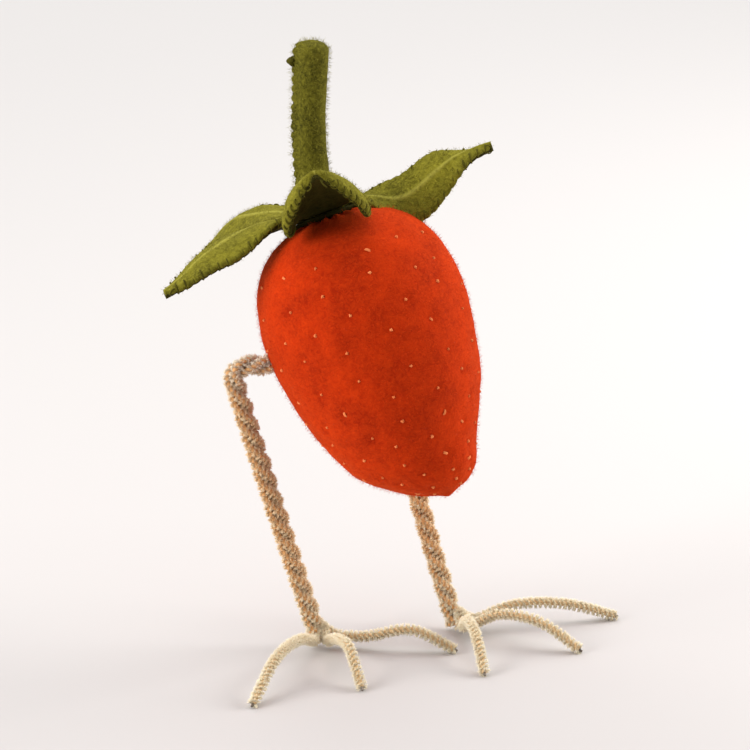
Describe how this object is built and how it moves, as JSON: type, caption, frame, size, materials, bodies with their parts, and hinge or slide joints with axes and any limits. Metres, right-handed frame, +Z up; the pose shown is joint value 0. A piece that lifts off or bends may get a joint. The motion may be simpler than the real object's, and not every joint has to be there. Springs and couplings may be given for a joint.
{
  "type": "pincushion",
  "caption": "Stuffed felt strawberry pincushion with a leafy calyx and rolled stalk, standing on bendable bird legs of twisted chenille stem.",
  "frame": {"origin": "on the standing surface, under the middle of the whole box", "axes": "+Z up, -Y the way the bird faces, -X its left side"},
  "size_m": [0.1292, 0.1229, 0.193],
  "materials": {
    "red_felt": "matt wool felt",
    "leaf_felt": "matt wool felt",
    "lining_felt": "matt wool felt",
    "wadding": "loose fibre",
    "red_thread": "cotton thread",
    "leg_chenille": "short cut pile",
    "toe_chenille": "short cut pile",
    "stem_wire": "dull drawn wire"
  },
  "bodies": {
    "berry": {"berry_skin": "red_felt", "berry_stuffing": "wadding", "neck_gathering_thread": "red_thread", "calyx_disc": "lining_felt"},
    "left_leg": {"left_leg_strand_a": "leg_chenille", "left_leg_strand_b": "leg_chenille", "left_leg_strand_c": "leg_chenille"},
    "right_leg": {"right_leg_strand_a": "leg_chenille", "right_leg_strand_b": "leg_chenille", "right_leg_strand_c": "leg_chenille"},
    "left_outer_toe": {"left_foot_outer_toe": "toe_chenille", "left_foot_outer_toe_wire": "stem_wire"},
    "left_middle_toe": {"left_foot_middle_toe": "toe_chenille", "left_foot_middle_toe_wire": "stem_wire"},
    "left_inner_toe": {"left_foot_inner_toe": "toe_chenille", "left_foot_inner_toe_wire": "stem_wire"},
    "right_inner_toe": {"right_foot_inner_toe": "toe_chenille", "right_foot_inner_toe_wire": "stem_wire"},
    "right_middle_toe": {"right_foot_middle_toe": "toe_chenille", "right_foot_middle_toe_wire": "stem_wire"},
    "right_outer_toe": {"right_foot_outer_toe": "toe_chenille", "right_foot_outer_toe_wire": "stem_wire"},
    "stalk": {"stalk_felt": "leaf_felt", "stalk_core": "wadding"},
    "right_leaf": {"right_leaf_lining": "lining_felt", "right_leaf_upper": "leaf_felt"},
    "front_leaf": {"front_leaf_lining": "lining_felt", "front_leaf_upper": "leaf_felt"},
    "left_leaf": {"left_leaf_lining": "lining_felt", "left_leaf_upper": "leaf_felt"},
    "back_left_leaf": {"back_left_leaf_lining": "lining_felt", "back_left_leaf_upper": "leaf_felt"},
    "back_right_leaf": {"back_right_leaf_lining": "lining_felt", "back_right_leaf_upper": "leaf_felt"}
  },
  "joints": [
    {"name": "left_hip", "type": "hinge", "parent": "berry", "child": "left_leg", "pos_m": [-0.03311, 0.01059, 0.0982], "axis": [-0.766, 0.6428, 0], "range_deg": [-3, 25]},
    {"name": "right_hip", "type": "hinge", "parent": "berry", "child": "right_leg", "pos_m": [0.01651, 0.01059, 0.0982], "axis": [-0.766, -0.6428, 0], "range_deg": [-3, 20]},
    {"name": "left_outer_toe_bend", "type": "hinge", "parent": "left_leg", "child": "left_outer_toe", "pos_m": [-0.02056, 0.00351, 0.004], "axis": [-0.2823, 0.9593, 0], "range_deg": [-20, 25]},
    {"name": "left_middle_toe_bend", "type": "hinge", "parent": "left_leg", "child": "left_middle_toe", "pos_m": [-0.01776, -0.00002, 0.004], "axis": [-0.8695, 0.4939, 0], "range_deg": [-20, 25]},
    {"name": "left_inner_toe_bend", "type": "hinge", "parent": "left_leg", "child": "left_inner_toe", "pos_m": [-0.01159, 0.00013, 0.004], "axis": [-0.8453, -0.5344, 0], "range_deg": [-20, 25]},
    {"name": "right_inner_toe_bend", "type": "hinge", "parent": "right_leg", "child": "right_inner_toe", "pos_m": [0.01845, -0.02598, 0.004], "axis": [-0.7804, 0.6252, 0], "range_deg": [-20, 25]},
    {"name": "right_middle_toe_bend", "type": "hinge", "parent": "right_leg", "child": "right_middle_toe", "pos_m": [0.02383, -0.02707, 0.004], "axis": [-0.9622, -0.2723, 0], "range_deg": [-20, 25]},
    {"name": "right_outer_toe_bend", "type": "hinge", "parent": "right_leg", "child": "right_outer_toe", "pos_m": [0.02688, -0.02506, 0.004], "axis": [-0.6266, -0.7793, 0], "range_deg": [-20, 25]},
    {"name": "stalk_nod", "type": "hinge", "parent": "berry", "child": "stalk", "pos_m": [-0.0083, 0.00938, 0.14461], "axis": [1, 0, 0], "range_deg": [-25, 25]},
    {"name": "right_leaf_lift", "type": "hinge", "parent": "berry", "child": "right_leaf", "pos_m": [-0.00316, 0.00285, 0.14525], "axis": [-0.766, -0.5753, 0.2868], "range_deg": [-2, 18], "stiffness_Nm_per_rad": 0.01},
    {"name": "front_leaf_lift", "type": "hinge", "parent": "berry", "child": "front_leaf", "pos_m": [-0.01355, 0.00293, 0.1452], "axis": [-0.7547, 0.5871, -0.2927], "range_deg": [-5, 18], "stiffness_Nm_per_rad": 0.01},
    {"name": "left_leaf_lift", "type": "hinge", "parent": "berry", "child": "left_leaf", "pos_m": [-0.0153, 0.01181, 0.14078], "axis": [0.4848, 0.7827, -0.3902], "range_deg": [-5, 18], "stiffness_Nm_per_rad": 0.01},
    {"name": "back_left_leaf_lift", "type": "hinge", "parent": "berry", "child": "back_left_leaf", "pos_m": [-0.00802, 0.01549, 0.13894], "axis": [0.9994, -0.0312, 0.0156], "range_deg": [-5, 18], "stiffness_Nm_per_rad": 0.01},
    {"name": "back_right_leaf_lift", "type": "hinge", "parent": "berry", "child": "back_right_leaf", "pos_m": [-0.00105, 0.01136, 0.141], "axis": [0.4226, -0.8111, 0.4044], "range_deg": [-5, 13], "stiffness_Nm_per_rad": 0.01}
  ]
}
